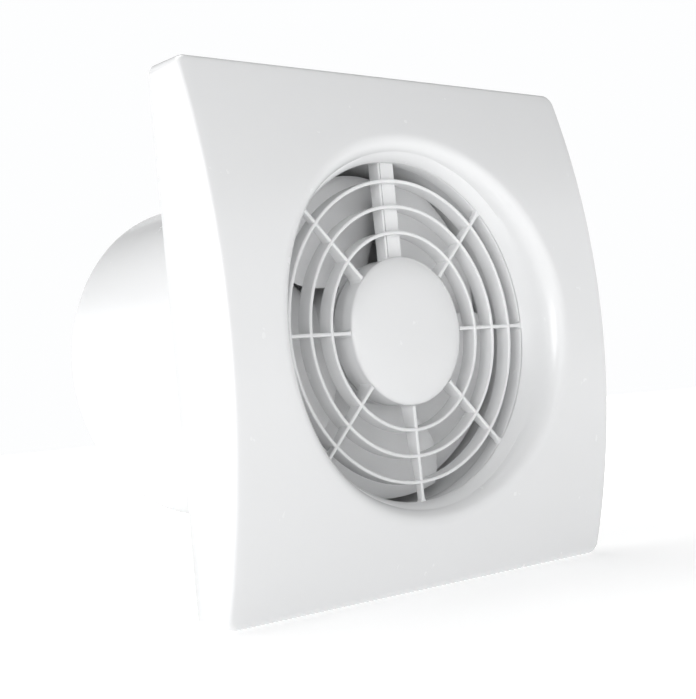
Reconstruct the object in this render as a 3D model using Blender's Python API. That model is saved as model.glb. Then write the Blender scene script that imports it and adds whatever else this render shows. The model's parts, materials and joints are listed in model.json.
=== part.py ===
"""Square-faced axial extract fan for a 125 mm duct: cover, guard, motor, impeller, shutter and wiring.

The origin is on the duct's axis at the wall plane. +Z is up, -Y faces the room and +Y runs into the duct.
Sizes are in millimetres and are turned into metres where a mesh is made.
"""

import math

import bmesh
import bpy
from mathutils import Matrix, Vector

MM = 0.001
GAP = 0.3  # between pieces that touch or rest on each other
RUN = 0.1  # round a turning shaft or pin

# Front cover
COVER_SIDE = 176.0
COVER_CORNER_RADIUS = 4.0
CORNER_DEPTH = 15.3  # wall plane to the straight top and bottom edges
FACE_BULGE = 14.3  # how much further the middle of the face stands out
COVER_WALL = 2.2
COVER_REAR = -0.4
MOUTH_WALL = 1.8
EDGE_ROUND = 1.6
HALF_ROUND = 0.45  # how far the middle loop of that rounded edge lies in from each face
LIP_RADIUS = 67.4  # where the flat-sided face starts to roll into the mouth
LIP_CORNER = 62.6
RAYS_PER_SIDE = 9
RAYS_PER_CORNER = 4

# Guard
GUARD_FRONT = -14.1
THROAT_RADIUS = 58.6
RING_RADII = (34.0, 43.0, 51.9)
RING_WALL = 1.3
RING_DEPTH = 6.0
SPOKES = 8
SPOKE_WALL = 1.3
TOP_SPOKE = 2  # the spoke at twelve o'clock, which carries the lead
CHANNEL_WIDTH = 7.4
GUARD_REAR = -7.8
CHANNEL_WALL = 1.2
CHANNEL_FRONT = -11.2
CHANNEL_REAR = -6.2
LUG_RADIUS = 66.3
LUG_WIDTH = 8.0
CUP_RADIUS = 25.2
CUP_WALL = 1.6
CUP_FLOOR = -4.2
CUP_FLOOR_THICK = 1.2
CUP_HOLE = 6.2
CUP_FRONT = -13.3
LEAD_HOLE_AT = 18.5  # height of the lead's way out of the motor
DOME_RADIUS = 25.6
DOME_FRONT = -17.6
DOME_WALL = 1.7

# Body, with the duct spigot
SPIGOT_RADIUS = 62.0
SPIGOT_WALL = 2.0
SPIGOT_LENGTH = 104.0
PLATE_HALF = 84.0
PLATE_THICK = 2.5
RIM_HEIGHT = 7.5
RIM_WALL = 1.6
WALL_SCREW_AT = 76.0
WALL_SCREW_HOLE = 2.3
GROMMET_AT = (73.0, 50.0)
GROMMET_HOLE = 6.5
BOSS_FOOT = -1.2  # bosses start inside the plate
PILOT_FOOT = -3.2

# Impeller and motor
BLADES = 5
BLADE_TIP = 57.2
BLADE_THICK = 1.6
BLADE_MIDDLE = 124.0  # degrees, the first blade's middle seen from the room
BLADE_FRONT = -0.8
BLADE_REAR = 9.4
HUB_RADIUS = 24.5
HUB_FRONT = -2.2
HUB_REAR = 24.0
SHAFT_RADIUS = 2.0
MOTOR_RADIUS = 21.0
MOTOR_WALL = 1.4
STACK = (3.8, 13.8)
SLOTS = 8
MOTOR_SCREWS = 3
MOTOR_SCREW_RING = 13.0

# Back-draught shutter
PIN_Y = 44.0
PIN_RADIUS = 1.25
FLAP_RADIUS = 56.8
FRAME_RADIUS = 59.7
FRAME_WALL = 2.3
FLAP_FRONT = -4.2  # the flap's plate, measured from the pin
FLAP_REAR = -3.0
KNUCKLE_RADIUS = 2.4
FLAP_EDGE = 1.2  # half the slot between the flaps
MULLION_HALF = 4.5
SPRING_COIL = 2.2
SPRING_WIRE = 0.35

# Wiring
BLOCK_LOW = (38.0, -13.6, 65.5)
BLOCK_HIGH = (64.0, -2.8, 80.5)
POLES = 3
LEAD_RADIUS = 1.1
CLAMP_SCREWS_X = (66.5, 77.5)
CLAMP_Z = 62.0
CLAMP_FRONT = -8.3
CLAMP_THICK = 2.8


def clear_scene():
    for obj in list(bpy.data.objects):
        bpy.data.objects.remove(obj, do_unlink=True)


def material(name, colour, roughness, metallic=0.0):
    made = bpy.data.materials.new(name)
    made.use_nodes = True
    shader = made.node_tree.nodes["Principled BSDF"]
    shader.inputs["Base Color"].default_value = (*colour, 1.0)
    shader.inputs["Roughness"].default_value = roughness
    shader.inputs["Metallic"].default_value = metallic
    made.diffuse_color = (*colour, 1.0)
    return made


# ---------------------------------------------------------------- meshes


def polar(radius, degrees):
    """(x, z) at this radius and angle, anticlockwise as seen from the room, from +X."""
    angle = math.radians(degrees)
    return radius * math.cos(angle), radius * math.sin(angle)


def bridge(bm, first, second):
    """Faces between two loops of one length, or between a loop and a single point."""
    count = max(len(first), len(second))
    for i in range(count):
        after = (i + 1) % count
        if len(second) == 1:
            bm.faces.new((first[i], first[after], second[0]))
        elif len(first) == 1:
            bm.faces.new((first[0], second[after], second[i]))
        else:
            bm.faces.new((first[i], first[after], second[after], second[i]))


def finish(bm):
    bmesh.ops.recalc_face_normals(bm, faces=bm.faces)
    return bm


def lofted(loops):
    """A closed tube through loops of (x, y, z) points, whose last loop joins the first."""
    bm = bmesh.new()
    made = [[bm.verts.new(Vector(point) * MM) for point in loop] for loop in loops]
    for i, loop in enumerate(made):
        bridge(bm, loop, made[(i + 1) % len(made)])
    return finish(bm)


def turned(outline, segments=48, centre=(0.0, 0.0), phase=0.0):
    """A closed (radius, y) outline turned about a line along Y through centre, an (x, z).

    An outline that starts and ends on the axis has radius 0 at both ends. The phase, a share of one
    segment, turns the corners of a hole away from the corners of what it is cut in.
    """
    bm = bmesh.new()
    loops = []
    for radius, y in outline:
        if radius == 0.0:
            loops.append([bm.verts.new(Vector((centre[0], y, centre[1])) * MM)])
            continue
        loop = []
        for k in range(segments):
            x, z = polar(radius, 360.0 * (k + phase) / segments)
            loop.append(bm.verts.new(Vector((centre[0] + x, y, centre[1] + z)) * MM))
        loops.append(loop)
    for i, loop in enumerate(loops):
        after = loops[(i + 1) % len(loops)]
        if len(loop) > 1 or len(after) > 1:
            bridge(bm, loop, after)
    return finish(bm)


def prism(outline, y_low, y_high):
    """An (x, z) outline extruded along Y."""
    bm = bmesh.new()
    low = [bm.verts.new(Vector((x, y_low, z)) * MM) for x, z in outline]
    high = [bm.verts.new(Vector((x, y_high, z)) * MM) for x, z in outline]
    bridge(bm, low, high)
    bm.faces.new(low)
    bm.faces.new(high)
    return finish(bm)


def box(low, high):
    outline = ((low[0], low[2]), (high[0], low[2]), (high[0], high[2]), (low[0], high[2]))
    return prism(outline, low[1], high[1])


def rod(radius, y_low, y_high, segments=16, centre=(0.0, 0.0), phase=0.31):
    outline = ((0.0, y_low), (radius, y_low), (radius, y_high), (0.0, y_high))
    return turned(outline, segments, centre, phase)


def upright(bm):
    """The same mesh with its Y axis turned to +Z."""
    bmesh.ops.rotate(bm, matrix=Matrix.Rotation(math.radians(90.0), 3, "X"), verts=bm.verts)
    return bm


def moved(bm, offset):
    bmesh.ops.translate(bm, vec=Vector(offset) * MM, verts=bm.verts)
    return bm


def spun(bm, degrees):
    """The same mesh turned about the duct's axis, anticlockwise as seen from the room."""
    turn = Matrix.Rotation(math.radians(-degrees), 3, "Y")
    bmesh.ops.rotate(bm, matrix=turn, verts=bm.verts)
    return bm


def square_outline(half, corner_radius, per_side=1, per_corner=4):
    """A rounded square in (x, z), anticlockwise from the middle of its +X side."""
    points = []
    straight = half - corner_radius
    for quarter in range(4):
        side = []
        for k in range(per_side):
            share = (k + 1) / per_side
            side.append((half, straight * (2.0 * share - 1.0)))
        for k in range(1, per_corner):
            x, z = polar(corner_radius, 90.0 * k / per_corner)
            side.append((straight + x, straight + z))
        side.append((straight, half))
        turn = math.radians(90.0 * quarter)
        for x, z in side:
            points.append(
                (
                    x * math.cos(turn) - z * math.sin(turn),
                    x * math.sin(turn) + z * math.cos(turn),
                )
            )
    return points


# ---------------------------------------------------------------- objects


def add(name, bm, finish_material, parent=None, sharp_degrees=35.0):
    mesh = bpy.data.meshes.new(name)
    bm.to_mesh(mesh)
    bm.free()
    mesh.materials.append(finish_material)
    mesh.shade_smooth()
    mesh.set_sharp_from_angle(angle=math.radians(sharp_degrees))
    obj = bpy.data.objects.new(name, mesh)
    obj.parent = parent
    bpy.context.scene.collection.objects.link(obj)
    return obj


def wire(name, points, radius, roundness, finish_material, parent=None):
    """A round wire through these points, with closed ends."""
    curve = bpy.data.curves.new(name, "CURVE")
    curve.dimensions = "3D"
    curve.bevel_depth = radius * MM
    curve.bevel_resolution = roundness
    curve.use_fill_caps = True
    line = curve.splines.new("POLY")
    line.points.add(len(points) - 1)
    for spline_point, point in zip(line.points, points):
        spline_point.co = (*(Vector(point) * MM), 1.0)
    curve.materials.append(finish_material)
    obj = bpy.data.objects.new(name, curve)
    obj.parent = parent
    bpy.context.scene.collection.objects.link(obj)
    return obj


def axis_empty(name, location):
    empty = bpy.data.objects.new(name, None)
    empty.location = Vector(location) * MM
    empty.empty_display_size = 0.02
    bpy.context.scene.collection.objects.link(empty)
    return empty


def combine(obj, operation, shapes):
    """Cut the shapes from the object, or join them to it, and keep the result as its mesh."""
    helpers = []
    for shape in shapes:
        helper = add(obj.name + "_helper", shape, obj.data.materials[0], obj.parent)
        helper.hide_render = True
        helper.display_type = "WIRE"
        helpers.append(helper)
        modifier = obj.modifiers.new(operation.lower(), "BOOLEAN")
        modifier.operation = operation
        modifier.solver = "EXACT"
        modifier.object = helper
    graph = bpy.context.evaluated_depsgraph_get()
    result = bpy.data.meshes.new_from_object(obj.evaluated_get(graph))
    obj.modifiers.clear()
    obj.data = result
    for helper in helpers:
        bpy.data.objects.remove(helper, do_unlink=True)
    obj.data.set_sharp_from_angle(angle=math.radians(35.0))
    return obj


# ---------------------------------------------------------------- front cover


def face_depth(z):
    """How far the curved face stands out from the wall at this height."""
    half = COVER_SIDE / 2.0
    curve = (half**2 + FACE_BULGE**2) / (2.0 * FACE_BULGE)
    height = min(abs(z), half)
    return CORNER_DEPTH + math.sqrt(curve**2 - height**2) - (curve - FACE_BULGE)


def cover_loop(outline, radius, y):
    """A circle of this radius, with its points on the same rays as the outline's."""
    loop = []
    for x, z in outline:
        scale = radius / math.hypot(x, z)
        depth = y if y is not None else -face_depth(z * scale)
        loop.append((x * scale, depth, z * scale))
    return loop


def mouth_loops(outline, inset, steps):
    """The mouth's loops from the throat out to the face, inset towards the wall side."""
    loops = [
        cover_loop(outline, THROAT_RADIUS + inset, GUARD_FRONT),
        cover_loop(outline, THROAT_RADIUS + 1.7 + inset, GUARD_FRONT - 4.0),
    ]
    for k in range(steps + 1):
        t = k / steps
        loop = []
        for x, z in outline:
            unit_x, unit_z = x / math.hypot(x, z), z / math.hypot(x, z)
            rolled = face_depth(LIP_RADIUS * unit_z) - inset
            corner = face_depth(LIP_CORNER * unit_z) - inset
            start = (THROAT_RADIUS + 2.4 + inset, max(-GUARD_FRONT + 4.4, corner - 8.0))
            middle = (LIP_CORNER + 0.4 * inset, corner)
            end = (LIP_RADIUS, rolled)
            radius, depth = (
                (1 - t) ** 2 * start[i] + 2 * t * (1 - t) * middle[i] + t**2 * end[i]
                for i in range(2)
            )
            loop.append((radius * unit_x, -depth, radius * unit_z))
        loops.append(loop)
    return loops


def face_loops(outline, inset, shares):
    """Loops on the face between the mouth and the outline."""
    loops = []
    for share in shares:
        loop = []
        for x, z in outline:
            scale = LIP_RADIUS / math.hypot(x, z)
            at_x = x * (scale + (1.0 - scale) * share)
            at_z = z * (scale + (1.0 - scale) * share)
            loop.append((at_x, inset - face_depth(at_z), at_z))
        loops.append(loop)
    return loops


def front_cover(finish_material, parent):
    half = COVER_SIDE / 2.0
    rays = (RAYS_PER_SIDE, RAYS_PER_CORNER)
    outer = square_outline(half, COVER_CORNER_RADIUS, *rays)
    lowered = square_outline(half - HALF_ROUND, COVER_CORNER_RADIUS - 0.4, *rays)
    top = square_outline(half - EDGE_ROUND, COVER_CORNER_RADIUS - 1.0, *rays)
    inner = square_outline(half - COVER_WALL, COVER_CORNER_RADIUS - 1.6, *rays)
    loops = mouth_loops(top, 0.0, 4)
    loops += face_loops(top, 0.0, (0.3, 0.65, 1.0))
    loops.append([(x, HALF_ROUND - face_depth(z), z) for x, z in lowered])
    loops.append([(x, EDGE_ROUND - face_depth(z), z) for x, z in outer])
    loops.append([(x, COVER_REAR, z) for x, z in outer])
    loops.append([(x, COVER_REAR, z) for x, z in inner])
    loops.append([(x, COVER_WALL - face_depth(z), z) for x, z in inner])
    loops += face_loops(inner, COVER_WALL, (0.5,))
    loops += mouth_loops(inner, MOUTH_WALL, 3)[::-1]
    cover = add("front_cover", lofted(loops), finish_material, parent)
    reach = half - COVER_WALL + 0.8
    bump = ((PLATE_HALF + GAP, -5.5, -7.0), (reach, -3.5, 7.0))
    return combine(cover, "UNION", [spun(box(*bump), 90.0 * k) for k in range(4)])


# ---------------------------------------------------------------- body and spigot


def lug_places():
    return [polar(LUG_RADIUS, 45.0 + 90.0 * k) for k in range(4)]


def fan_body(finish_material):
    plate = prism(square_outline(PLATE_HALF, 4.0), -RIM_HEIGHT, 0.0)
    body = add("fan_body", plate, finish_material)
    pocket = prism(
        square_outline(PLATE_HALF - RIM_WALL, 2.4), -RIM_HEIGHT - 1.0, -PLATE_THICK
    )
    middle = SPIGOT_RADIUS - SPIGOT_WALL / 2.0
    through = (-RIM_HEIGHT - 1.5, 1.0)
    combine(body, "DIFFERENCE", [pocket, rod(middle, *through, 48, phase=0.0)])
    bore = SPIGOT_RADIUS - SPIGOT_WALL
    tube = (
        (bore, -RIM_HEIGHT),
        (SPIGOT_RADIUS, -RIM_HEIGHT),
        (SPIGOT_RADIUS, SPIGOT_LENGTH - 0.7),
        (SPIGOT_RADIUS - 0.6, SPIGOT_LENGTH),
        (bore, SPIGOT_LENGTH),
    )
    bosses = [turned(tube)]
    clamp_places = [(x, CLAMP_Z) for x in CLAMP_SCREWS_X]
    bosses += [rod(3.4, -RIM_HEIGHT + 0.1, BOSS_FOOT, 12, place) for place in lug_places()]
    bosses += [rod(2.6, CLAMP_FRONT + 3.1, BOSS_FOOT, 12, place) for place in clamp_places]
    combine(body, "UNION", bosses)
    holes = [rod(1.6, through[0], PILOT_FOOT, 10, place) for place in lug_places()]
    holes += [rod(1.2, through[0], PILOT_FOOT, 10, place) for place in clamp_places]
    holes.append(rod(GROMMET_HOLE, *through, 20, GROMMET_AT))
    for x in (-WALL_SCREW_AT, WALL_SCREW_AT):
        for z in (-WALL_SCREW_AT, WALL_SCREW_AT):
            holes.append(rod(WALL_SCREW_HOLE, *through, 12, (x, z)))
    return combine(body, "DIFFERENCE", holes)


# ---------------------------------------------------------------- guard


def spoke():
    """A fin along +X, deeper at the hub than at the throat."""
    side = SPOKE_WALL / 2.0
    start, end = CUP_RADIUS - 0.8, THROAT_RADIUS + 0.8
    front = GUARD_FRONT + 0.1
    beside_dome = DOME_RADIUS + GAP
    section = (
        (beside_dome, front),
        (end, front),
        (end, front + 2.2),
        (start, front + 6.6),
        (start, CUP_FRONT + 0.1),
        (beside_dome, CUP_FRONT + 0.1),
    )
    bm = bmesh.new()
    loops = []
    for z in (-side, side):
        loops.append([bm.verts.new(Vector((x, y, z)) * MM) for x, y in section])
    bridge(bm, *loops)
    for loop in loops:
        bm.faces.new(loop)
    return finish(bm)


def guard(finish_material):
    cup = (
        (CUP_RADIUS, CUP_FRONT),
        (CUP_RADIUS, CUP_FLOOR),
        (CUP_HOLE, CUP_FLOOR),
        (CUP_HOLE, CUP_FLOOR - CUP_FLOOR_THICK),
        (CUP_RADIUS - CUP_WALL, CUP_FLOOR - CUP_FLOOR_THICK),
        (CUP_RADIUS - CUP_WALL, CUP_FRONT),
    )
    made = add("inlet_guard", turned(cup, 40), finish_material)
    shapes = []
    for radius in RING_RADII:
        inner, outer = radius - RING_WALL / 2.0, radius + RING_WALL / 2.0
        rear = GUARD_FRONT + RING_DEPTH
        ring = ((outer, GUARD_FRONT), (outer, rear), (inner, rear), (inner, GUARD_FRONT))
        shapes.append(turned(ring, 44))
    throat = (
        (THROAT_RADIUS, GUARD_FRONT + 0.6),
        (THROAT_RADIUS + 3.0, GUARD_FRONT + 0.6),
        (THROAT_RADIUS + 3.0, GUARD_REAR),
        (THROAT_RADIUS, GUARD_REAR),
    )
    shapes.append(turned(throat, 48))
    for k in range(SPOKES):
        if k != TOP_SPOKE:
            shapes.append(spun(spoke(), 360.0 * k / SPOKES))
    wide = CHANNEL_WIDTH / 2.0
    shapes.append(
        box((-wide, CHANNEL_FRONT, CUP_RADIUS - 0.7), (wide, CHANNEL_REAR, THROAT_RADIUS + 0.9))
    )
    lug = box(
        (THROAT_RADIUS + 2.0, -10.8, -LUG_WIDTH / 2.0),
        (LUG_RADIUS + LUG_WIDTH / 2.0, GUARD_REAR - 0.1, LUG_WIDTH / 2.0),
    )
    shapes += [spun(lug.copy(), 45.0 + 90.0 * k) for k in range(4)]
    lug.free()
    combine(made, "UNION", shapes)
    holes = [rod(1.75, -12.0, -6.0, 12, place) for place in lug_places()]
    holes += [rod(2.9, -7.0, -3.0, 16, place) for place in motor_screw_places()]
    holes.append(rod(1.8, -7.0, -3.0, 12, (0.0, LEAD_HOLE_AT)))
    inside = wide - CHANNEL_WALL
    holes.append(box((-inside, CHANNEL_FRONT + 1.3, 21.0), (inside, -5.5, 64.0)))
    return combine(made, "DIFFERENCE", holes)


def dome_cap(finish_material):
    """The round cap over the motor cup, with a rolled edge and a slightly crowned face."""
    edge = DOME_RADIUS
    collar = CUP_RADIUS - CUP_WALL - GAP
    outline = (
        (0.0, DOME_FRONT),
        (9.0, DOME_FRONT + 0.2),
        (17.0, DOME_FRONT + 0.85),
        (edge - 3.4, -15.9),
        (edge - 0.9, -14.9),
        (edge, -13.6),
        (collar, -13.6),
        (collar, -10.5),
        (collar - 1.4, -10.5),
        (collar - 1.4, -14.5),
        (13.0, DOME_FRONT + 0.5 + DOME_WALL),
        (0.0, DOME_FRONT + DOME_WALL),
    )
    return add("motor_dome_cap", turned(outline, 44), finish_material)


def wire_channel_cover(finish_material):
    wide = CHANNEL_WIDTH / 2.0 - CHANNEL_WALL - GAP
    rear = CHANNEL_REAR - 0.1
    strip = box((-wide, rear - 1.1, CUP_RADIUS + 1.1), (wide, rear, THROAT_RADIUS - 0.6))
    return add("wire_channel_cover", strip, finish_material)


# ---------------------------------------------------------------- fasteners


def screw(name, place, head, shank, finish_material, parent=None):
    """A pan-head screw along Y. head is (radius, front y, rear y) and shank (radius, tip y)."""
    head_radius, front, rear = head
    shank_radius, tip = shank
    outline = (
        (0.0, front),
        (0.62 * head_radius, front),
        (head_radius, front + 0.4 * (rear - front)),
        (head_radius, rear),
        (shank_radius, rear),
        (shank_radius, tip - 0.8),
        (0.3 * shank_radius, tip),
        (0.0, tip),
    )
    return add(name, turned(outline, 10, place), finish_material, parent)


def motor_screw_places():
    step = 360.0 / MOTOR_SCREWS
    return [polar(MOTOR_SCREW_RING, 30.0 + step * k) for k in range(MOTOR_SCREWS)]


def fasteners(steel, rubber):
    for k, place in enumerate(lug_places()):
        screw(f"guard_screw_{k + 1}", place, (2.8, -13.0, -11.1), (1.3, -4.0), steel)
    for k, place in enumerate(motor_screw_places()):
        screw(f"motor_screw_{k + 1}", place, (2.7, -9.4, -7.5), (1.35, -2.4), steel)
        bush = ((1.65, -7.2), (3.8, -7.2), (3.8, -5.7), (2.6, -5.7), (2.6, -3.7), (1.65, -3.7))
        add(f"rubber_mount_{k + 1}", turned(bush, 12, place), rubber)


# ---------------------------------------------------------------- motor


def motor(steel, iron, copper, bronze):
    front = (
        (SHAFT_RADIUS + 0.8, -8.4),
        (5.6, -8.4),
        (5.6, -3.4),
        (MOTOR_RADIUS, -3.4),
        (MOTOR_RADIUS, STACK[0] - GAP),
        (MOTOR_RADIUS - MOTOR_WALL, STACK[0] - GAP),
        (MOTOR_RADIUS - MOTOR_WALL, -1.9),
        (4.8, -1.9),
        (4.8, -7.6),
        (SHAFT_RADIUS + 0.8, -7.6),
    )
    shield = add("motor_front_shield", turned(front, 28), steel)
    holes = [rod(1.7, -5.0, 0.0, 10, place) for place in motor_screw_places()]
    holes.append(rod(1.5, -5.0, 0.0, 10, (0.0, LEAD_HOLE_AT)))
    combine(shield, "DIFFERENCE", holes)
    rear = (
        (MOTOR_RADIUS, STACK[1] + GAP),
        (MOTOR_RADIUS, 20.5),
        (SHAFT_RADIUS + 0.8, 20.5),
        (SHAFT_RADIUS + 0.8, 19.7),
        (4.8, 19.7),
        (4.8, 16.0),
        (5.8, 16.0),
        (5.8, 19.0),
        (MOTOR_RADIUS - MOTOR_WALL, 19.0),
        (MOTOR_RADIUS - MOTOR_WALL, STACK[1] + GAP),
    )
    add("motor_rear_shield", turned(rear, 28), steel)
    ring = (
        (12.3, STACK[0]),
        (MOTOR_RADIUS, STACK[0]),
        (MOTOR_RADIUS, STACK[1]),
        (12.3, STACK[1]),
    )
    stack = add("stator_core", turned(ring, 32), iron)
    slot = box((11.0, STACK[0] - 1.0, -1.6), (17.6, STACK[1] + 1.0, 1.6))
    turns = [17.0 + 360.0 * k / SLOTS for k in range(SLOTS)]
    combine(stack, "DIFFERENCE", [spun(slot.copy(), turn) for turn in turns])
    slot.free()
    windings = (("front", -1.5, STACK[0] - GAP), ("rear", STACK[1] + GAP, 18.6))
    for name, low, high in windings:
        coil = (
            (13.4, low + 1.2),
            (14.8, low),
            (18.2, low),
            (19.2, low + 1.2),
            (19.2, high),
            (13.4, high),
        )
        add(f"winding_{name}", turned(coil, 24), copper)
    for name, low, high in (("front", -7.3, -4.1), ("rear", 16.2, 19.4)):
        bore = SHAFT_RADIUS + RUN
        bush = ((bore, low), (4.5, low), (4.5, high), (bore, high))
        add(f"bearing_{name}", turned(bush, 16), bronze)


# ---------------------------------------------------------------- rotor


def blade():
    """One twisted paddle blade about +X, with its leading edge to the room and anticlockwise."""
    stations, chords = 6, 8
    root = HUB_RADIUS - 1.0
    loops = []
    for i in range(stations):
        share = i / (stations - 1)
        radius = root + (BLADE_TIP - root) * share
        lead = 8.0 + 21.5 * math.sin(0.78 * math.pi * share**0.75)
        trail = 46.0 + 10.0 * share
        front, rear = [], []
        for j in range(chords + 1):
            t = j / chords
            x, z = polar(radius, lead - (lead + trail) * t)
            y = BLADE_FRONT + (BLADE_REAR - BLADE_FRONT) * (t + 0.35 * t * (t - 1.0))
            half = BLADE_THICK * (0.22 + 0.28 * math.sin(math.pi * t) ** 0.5)
            front.append((x, y - half, z))
            rear.append((x, y + half, z))
        loops.append(front + rear[::-1])
    bm = bmesh.new()
    made = [[bm.verts.new(Vector(point) * MM) for point in loop] for loop in loops]
    for i in range(stations - 1):
        bridge(bm, made[i], made[i + 1])
    count = chords + 1
    for loop in (made[0], made[-1]):
        for j in range(chords):
            last = 2 * count - 1
            bm.faces.new((loop[j], loop[j + 1], loop[last - j - 1], loop[last - j]))
    return finish(bm)


def impeller(finish_material, parent):
    outline = (
        (HUB_RADIUS, HUB_FRONT),
        (HUB_RADIUS, HUB_REAR - 2.5),
        (HUB_RADIUS - 0.7, HUB_REAR - 0.7),
        (HUB_RADIUS - 2.5, HUB_REAR),
        (4.5, HUB_REAR),
        (4.5, HUB_REAR + 3.0),
        (SHAFT_RADIUS + RUN, HUB_REAR + 3.0),
        (SHAFT_RADIUS + RUN, HUB_REAR - 1.8),
        (HUB_RADIUS - 2.6, HUB_REAR - 1.8),
        (HUB_RADIUS - 1.6, HUB_REAR - 2.8),
        (HUB_RADIUS - 1.6, HUB_FRONT),
    )
    made = add("impeller", turned(outline, 36), finish_material, parent)
    shapes = [spun(blade(), BLADE_MIDDLE + 360.0 * k / BLADES) for k in range(BLADES)]
    return combine(made, "UNION", shapes)


def rotor(white, steel, iron, parent):
    impeller(white, parent)
    shaft = (
        (0.0, -7.1),
        (SHAFT_RADIUS - 0.3, -7.1),
        (SHAFT_RADIUS, -6.8),
        (SHAFT_RADIUS, 30.6),
        (SHAFT_RADIUS - 0.4, 31.0),
        (0.0, 31.0),
    )
    add("motor_shaft", turned(shaft, 16), steel, parent)
    bore = SHAFT_RADIUS + RUN
    core = ((bore, 4.0), (11.8, 4.0), (11.8, 13.6), (bore, 13.6))
    add("rotor_core", turned(core, 24), iron, parent)
    for name, low, high in (("front", -3.8, -3.0), ("rear", 15.0, 15.8)):
        washer = ((bore, low), (4.2, low), (4.2, high), (bore, high))
        add(f"thrust_washer_{name}", turned(washer, 16), steel, parent)
    nut = prism([polar(4.2, 60.0 * k) for k in range(6)], HUB_REAR + 3.3, 30.0)
    made = add("impeller_nut", nut, steel, parent)
    combine(made, "DIFFERENCE", [rod(bore, 26.0, 32.0)])


# ---------------------------------------------------------------- shutter


def shutter_frame(finish_material):
    bore = FRAME_RADIUS - FRAME_WALL
    front, seat, rear = PIN_Y - 6.6, PIN_Y - 4.6, PIN_Y + 3.0
    outline = (
        (bore - 3.2, front),
        (FRAME_RADIUS, front),
        (FRAME_RADIUS, rear),
        (bore, rear),
        (bore, seat),
        (bore - 3.2, seat),
    )
    frame = add("shutter_frame", turned(outline, 44), finish_material)
    reach = bore - 1.8
    mullion = box((-MULLION_HALF, front + 0.1, -reach), (MULLION_HALF, seat - 0.1, reach))
    combine(frame, "UNION", [mullion])
    hole = moved(upright(rod(PIN_RADIUS + RUN, -62.0, 62.0, 12)), (0.0, PIN_Y, 0.0))
    return combine(frame, "DIFFERENCE", [hole])


def shutter_pin(steel):
    pin = moved(upright(rod(PIN_RADIUS, -59.0, 59.0, 12)), (0.0, PIN_Y, 0.0))
    return add("shutter_pin", pin, steel)


def shutter_flap(name, side, knuckles, finish_material, parent):
    """Half a disc beside the pin, on side -1 or +1, in coordinates measured from the pin."""
    steps = 16
    outline = []
    for k in range(steps + 1):
        start = math.degrees(math.asin(FLAP_EDGE / FLAP_RADIUS))
        x, z = polar(FLAP_RADIUS, -90.0 + start + (180.0 - 2.0 * start) * k / steps)
        outline.append((side * x, z))
    flap = add(name, prism(outline, FLAP_FRONT, FLAP_REAR), finish_material, parent)
    shapes = []
    for rib in (-24.0, 24.0):
        across = sorted((side * 8.0, side * 47.0))
        shapes.append(box((across[0], FLAP_REAR - 0.5, rib), (across[1], -1.8, rib + 1.2)))
    bores = []
    for low, high in knuckles:
        shapes.append(upright(rod(KNUCKLE_RADIUS, low, high, 12)))
        across = sorted((side * FLAP_EDGE, side * 6.0))
        web = (across[0], FLAP_FRONT + 0.3, low + 0.2), (across[1], -0.6, high - 0.2)
        shapes.append(box(*web))
        bores.append(upright(rod(PIN_RADIUS + RUN, low - 2.0, high + 2.0, 12)))
    combine(flap, "UNION", shapes)
    return combine(flap, "DIFFERENCE", bores)


def shutter_spring(name, side, low, steel, parent):
    """A torsion spring round the pin, whose one leg lies on the flap."""
    turns, per_turn, pitch, leg = 3, 10, 1.0, 14.0
    points = []
    steps = turns * per_turn + per_turn // 2
    for k in range(steps + 1):
        x, y = polar(SPRING_COIL, 90.0 + side * 360.0 * k / per_turn)
        points.append((x, y, low + pitch * k / per_turn))
    points.append((side * leg, -SPRING_COIL, low + pitch * steps / per_turn))
    return wire(name, points, SPRING_WIRE, 0, steel, parent)


def shutter(finish_material, steel):
    shutter_frame(finish_material)
    shutter_pin(steel)
    left = axis_empty("left_flap_axis", (0.0, PIN_Y, 0.0))
    right = axis_empty("right_flap_axis", (0.0, PIN_Y, 0.0))
    shutter_flap("shutter_flap_left", -1.0, ((18.0, 28.0), (-40.0, -30.0)), finish_material, left)
    shutter_flap("shutter_flap_right", 1.0, ((30.0, 40.0), (-28.0, -18.0)), finish_material, right)
    shutter_spring("shutter_spring_left", -1.0, 4.0, steel, left)
    shutter_spring("shutter_spring_right", 1.0, -10.0, steel, right)


# ---------------------------------------------------------------- wiring


def terminal_block(finish_material, steel):
    block = add("terminal_block", box(BLOCK_LOW, BLOCK_HIGH), finish_material)
    pitch = (BLOCK_HIGH[0] - BLOCK_LOW[0]) / POLES
    depth = (BLOCK_LOW[2] + BLOCK_HIGH[2]) / 2.0
    front = BLOCK_LOW[1]
    pockets = []
    for k in range(POLES):
        x = BLOCK_LOW[0] + pitch * (k + 0.5)
        pockets.append(rod(2.6, front - 1.0, front + 6.0, 12, (x, depth)))
        entry = (x - 1.4, front + 6.6, BLOCK_LOW[2] - 1.0), (x + 1.4, front + 9.2, BLOCK_LOW[2] + 4.0)
        pockets.append(box(*entry))
        head = (2.2, front + 1.4, front + 3.2)
        screw(f"terminal_screw_{k + 1}", (x, depth), head, (1.3, front + 5.6), steel)
    return combine(block, "DIFFERENCE", pockets)


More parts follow.
